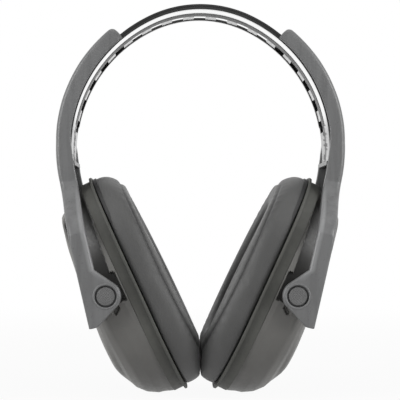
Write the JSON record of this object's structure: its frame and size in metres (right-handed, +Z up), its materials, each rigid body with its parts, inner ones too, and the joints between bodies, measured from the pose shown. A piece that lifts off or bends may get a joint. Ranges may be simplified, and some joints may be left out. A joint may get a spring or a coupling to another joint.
{
  "type": "hearing protection earmuffs",
  "caption": "Over-head hearing protection earmuffs: slotted sprung headband, sliding forked arms and tilting padded ear cups.",
  "frame": {"origin": "underside of the headband at the middle of its crown", "axes": "+Z up, the wearer looks along -Y, +X is the side called right in the node names (the wearer's left ear)"},
  "size_m": [0.1354, 0.091, 0.1835],
  "materials": {
    "strap": "glossy black moulded spring plastic",
    "arm": "satin mid grey moulded plastic with a fine grain",
    "cup_shell": "satin warm grey moulded plastic",
    "base_ring": "matte dark olive grey moulded plastic",
    "inner_plate": "matte black moulded plastic",
    "pivot_pin": "grey moulded plastic with a knurled face",
    "cushion_skin": "soft dark grey leatherette",
    "cushion_foam": "soft foam",
    "liner_foam": "open-cell black foam"
  },
  "bodies": {
    "headband": {"headband_strap": "strap", "left_strap_stop": "strap", "right_strap_stop": "strap"},
    "left_arm": {"left_arm": "arm", "left_strap_catch": "arm"},
    "left_cup": {"left_base_ring": "base_ring", "left_cup_shell": "cup_shell", "left_acoustic_liner": "liner_foam", "left_cushion_skin": "cushion_skin", "left_cushion_foam": "cushion_foam", "left_snap_plate": "inner_plate", "left_front_pivot_pin": "pivot_pin", "left_rear_pivot_pin": "pivot_pin"},
    "right_arm": {"right_arm": "arm", "right_strap_catch": "arm"},
    "right_cup": {"right_base_ring": "base_ring", "right_cup_shell": "cup_shell", "right_acoustic_liner": "liner_foam", "right_cushion_skin": "cushion_skin", "right_cushion_foam": "cushion_foam", "right_snap_plate": "inner_plate", "right_front_pivot_pin": "pivot_pin", "right_rear_pivot_pin": "pivot_pin"}
  },
  "joints": [
    {"name": "left_height", "type": "hinge", "parent": "headband", "child": "left_arm", "pos_m": [0.00601, 0, -0.06513], "axis": [0, 1, 0], "range_deg": [0, 9]},
    {"name": "left_tilt", "type": "hinge", "parent": "left_arm", "child": "left_cup", "pos_m": [-0.04313, 0, -0.13323], "axis": [0, 1, 0], "range_deg": [0, 30]},
    {"name": "right_height", "type": "hinge", "parent": "headband", "child": "right_arm", "pos_m": [-0.00601, 0, -0.06513], "axis": [0, -1, 0], "range_deg": [0, 9]},
    {"name": "right_tilt", "type": "hinge", "parent": "right_arm", "child": "right_cup", "pos_m": [0.04313, 0, -0.13323], "axis": [0, -1, 0], "range_deg": [0, 30]}
  ]
}
